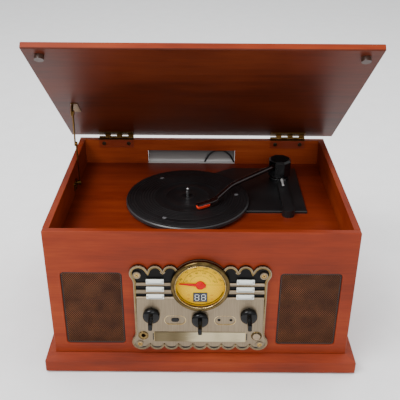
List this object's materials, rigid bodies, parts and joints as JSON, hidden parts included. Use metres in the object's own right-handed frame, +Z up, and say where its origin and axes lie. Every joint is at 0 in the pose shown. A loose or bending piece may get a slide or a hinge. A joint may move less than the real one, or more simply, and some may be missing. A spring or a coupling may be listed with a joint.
{
  "type": "record player",
  "caption": "Wooden record player with a lift-up lid on a brass stay, a belt-driven turntable, a scalloped front plate with a round dial, knobs and buttons, a disc drawer and loudspeakers.",
  "frame": {"origin": "on the surface it stands on, under the middle of its outline with the lid open", "axes": "+X to the right seen from the front, +Y to the back, +Z up"},
  "size_m": [0.4716, 0.3745, 0.4828],
  "materials": {
    "veneer": "satin lacquered reddish veneer",
    "deck_veneer": "glossier reddish veneer",
    "fibreboard": "raw fibreboard",
    "rubber": "matt black rubber",
    "rubber_black": "black lead sheath",
    "mat_rubber": "ribbed black rubber",
    "grey_sheet": "satin grey sheet",
    "black_moulding": "fine-textured black moulding",
    "brass": "aged polished brass",
    "dark_steel": "blackened screw heads",
    "steel": "plain pressed steel",
    "chrome": "bright chrome",
    "platter_metal": "satin black",
    "arm_moulding": "glossy dark moulding",
    "red_moulding": "orange-red moulding",
    "grey_moulding": "pale grey moulding",
    "plate_metal": "brushed champagne coating",
    "gold": "bright antique gold plating",
    "clear_lens": "clear lens",
    "dial_yellow": "printed yellow dial",
    "needle_red": "red",
    "smoked_window": "smoked window",
    "board_green": "circuit board",
    "grille_cloth": "woven black and copper grille cloth",
    "speaker_black": "black basket and cone",
    "gloss_black": "gloss black",
    "button_ivory": "ivory"
  },
  "bodies": {
    "root": {"back_panel": "veneer", "bottom_panel": "fibreboard", "cd_mechanism": "black_moulding", "chassis_plate": "black_moulding", "circuit_board": "board_green", "control_bodies": "steel", "deck_board": "deck_veneer", "dial_bezel": "gold", "dial_face": "dial_yellow", "dial_lens": "clear_lens", "display_windows": "smoked_window", "drive_belt": "mat_rubber", "faceplate": "plate_metal", "faceplate_screws": "gold", "front_panel": "veneer", "headphone_jack": "gold", "hinge_lower_leaves": "brass", "hinge_pins": "brass", "hinge_screws": "dark_steel", "left_side": "veneer", "left_speaker": "speaker_black", "motor": "steel", "panel_backing": "black_moulding", "pickup_lead": "rubber_black", "plinth": "veneer", "rear_sockets": "black_moulding", "right_side": "veneer", "right_speaker": "speaker_black", "rubber_feet": "rubber", "slot_cover": "grey_sheet", "speaker_grilles": "grille_cloth", "spindle": "chrome", "stay_wall_bracket": "brass", "tonearm_base": "black_moulding", "transformer": "steel"},
    "lid": {"lid_board": "veneer", "lid_bumpers": "rubber", "hinge_upper_leaves": "brass", "stay_lid_bracket": "brass"},
    "stay_upper": {"stay_upper_link": "brass"},
    "stay_lower": {"stay_lower_link": "brass"},
    "needle": {"dial_needle": "needle_red"},
    "function_knob": {"function_knob": "gloss_black"},
    "tuning_knob": {"tuning_knob": "gloss_black"},
    "volume_knob": {"volume_knob": "gloss_black"},
    "power_button": {"power_button": "gold"},
    "cd_drawer": {"cd_drawer": "plate_metal"},
    "turntable": {"platter": "platter_metal", "platter_mat": "mat_rubber"},
    "motor_pulley": {"motor_pulley": "brass"},
    "arm_swing": {"arm_housing": "black_moulding"},
    "arm": {"tonearm": "arm_moulding", "cartridge": "red_moulding"},
    "cue_lever": {"cue_lever": "grey_moulding"},
    "band_button": {"band_button": "button_ivory"},
    "stereo_button": {"stereo_button": "button_ivory"},
    "bass_button": {"bass_button": "button_ivory"},
    "play_button": {"play_button": "button_ivory"},
    "skip_button": {"skip_button": "button_ivory"},
    "stop_button": {"stop_button": "button_ivory"}
  },
  "joints": [
    {"name": "lid_hinge", "type": "hinge", "parent": "root", "child": "lid", "pos_m": [0, 0.1767, 0.2436], "axis": [-1, 0, 0], "range_deg": [-40.5, 0]},
    {"name": "stay_lower_pivot", "type": "hinge", "parent": "root", "child": "stay_lower", "pos_m": [-0.2048, 0.0617, 0.209], "axis": [1, 0, 0], "range_deg": [0, 90.18]},
    {"name": "stay_upper_pivot", "type": "hinge", "parent": "lid", "child": "stay_upper", "pos_m": [-0.2066, 0.06324, 0.33248], "axis": [1, 0, 0], "range_deg": [-89.42, 0]},
    {"name": "needle_turn", "type": "hinge", "parent": "root", "child": "needle", "pos_m": [-0.001, -0.1545, 0.1555], "axis": [0, 1, 0], "range_deg": [0, 170]},
    {"name": "function_knob_turn", "type": "hinge", "parent": "root", "child": "function_knob", "pos_m": [-0.072, -0.1559, 0.1034], "axis": [0, 1, 0], "range_deg": [-60, 60]},
    {"name": "tuning_knob_turn", "type": "hinge", "parent": "root", "child": "tuning_knob", "pos_m": [-0.001, -0.1559, 0.0964], "axis": [0, 1, 0], "range_deg": [0, 300]},
    {"name": "volume_knob_turn", "type": "hinge", "parent": "root", "child": "volume_knob", "pos_m": [0.07, -0.1559, 0.1034], "axis": [0, 1, 0], "range_deg": [-150, 150]},
    {"name": "band_button_press", "type": "slide", "parent": "root", "child": "band_button", "axis": [0, 1, 0], "range_m": [0, 0.0015], "stiffness_N_per_m": 300},
    {"name": "stereo_button_press", "type": "slide", "parent": "root", "child": "stereo_button", "axis": [0, 1, 0], "range_m": [0, 0.0015], "stiffness_N_per_m": 300},
    {"name": "bass_button_press", "type": "slide", "parent": "root", "child": "bass_button", "axis": [0, 1, 0], "range_m": [0, 0.0015], "stiffness_N_per_m": 300},
    {"name": "play_button_press", "type": "slide", "parent": "root", "child": "play_button", "axis": [0, 1, 0], "range_m": [0, 0.0015], "stiffness_N_per_m": 300},
    {"name": "skip_button_press", "type": "slide", "parent": "root", "child": "skip_button", "axis": [0, 1, 0], "range_m": [0, 0.0015], "stiffness_N_per_m": 300},
    {"name": "stop_button_press", "type": "slide", "parent": "root", "child": "stop_button", "axis": [0, 1, 0], "range_m": [0, 0.0015], "stiffness_N_per_m": 300},
    {"name": "power_button_press", "type": "slide", "parent": "root", "child": "power_button", "axis": [0, 1, 0], "range_m": [0, 0.0025], "stiffness_N_per_m": 300},
    {"name": "drawer_slide", "type": "slide", "parent": "root", "child": "cd_drawer", "axis": [0, -1, 0], "range_m": [0, 0.11]},
    {"name": "platter_spin", "type": "hinge", "parent": "root", "child": "turntable", "pos_m": [-0.0225, 0.0153, 0.2067], "axis": [0, 0, -1], "continuous": true},
    {"name": "pulley_spin", "type": "hinge", "parent": "root", "child": "motor_pulley", "pos_m": [0.035, 0.0627, 0.2003], "axis": [0, 0, -1], "continuous": true},
    {"name": "arm_swing", "type": "hinge", "parent": "root", "child": "arm_swing", "pos_m": [0.134, 0.1027, 0.2267], "axis": [0, 0, 1], "range_deg": [-4, 45]},
    {"name": "cue_lever_lift", "type": "hinge", "parent": "root", "child": "cue_lever", "pos_m": [0.136, 0.0737, 0.2097], "axis": [-1, 0, 0], "range_deg": [0, 35]},
    {"name": "arm_lift", "type": "hinge", "parent": "arm_swing", "child": "arm", "pos_m": [0.134, 0.1027, 0.2267], "axis": [-0.6522, 0.758, 0], "range_deg": [0, 8]}
  ],
  "couplings": [
    {"joint": "stay_lower_pivot", "follows": "lid_hinge", "ratio": -2.2262},
    {"joint": "stay_upper_pivot", "follows": "lid_hinge", "ratio": 2.2074},
    {"joint": "needle_turn", "follows": "tuning_knob_turn", "ratio": 0.56666},
    {"joint": "pulley_spin", "follows": "platter_spin", "ratio": 9.1667},
    {"joint": "cue_lever_lift", "follows": "arm_lift", "ratio": 4.375}
  ]
}
